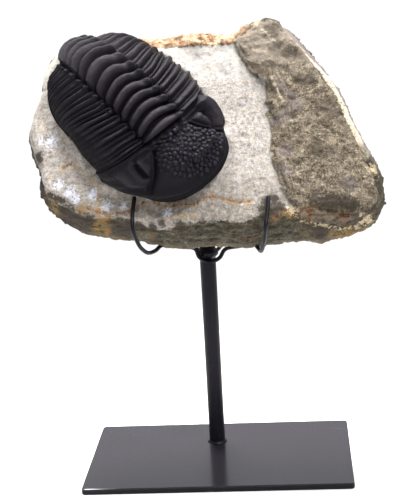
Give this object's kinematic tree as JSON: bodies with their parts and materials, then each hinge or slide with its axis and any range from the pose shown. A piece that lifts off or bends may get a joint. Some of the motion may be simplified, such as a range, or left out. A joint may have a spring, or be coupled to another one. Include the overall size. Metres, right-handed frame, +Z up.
{
  "type": "mounted trilobite fossil",
  "caption": "Dark trilobite fossil in relief on a leaning slab of pale matrix stone, held by bent wires on a round post with a flat rectangular base plate.",
  "frame": {"origin": "middle of the base plate's underside", "axes": "+Z up along the post, -Y to the front where the fossil faces, +X to the right seen from the front"},
  "size_m": [0.1698, 0.0942, 0.2165],
  "materials": {
    "stand_paint": "satin black",
    "matrix_stone": "rough, speckled cream and grey with a brown crust",
    "fossil_stone": "smooth satin charcoal"
  },
  "bodies": {
    "root": {"base_plate": "stand_paint", "post": "stand_paint", "hook_wire": "stand_paint", "rest_wire": "stand_paint", "rock": "matrix_stone", "trilobite": "fossil_stone"}
  },
  "joints": []
}
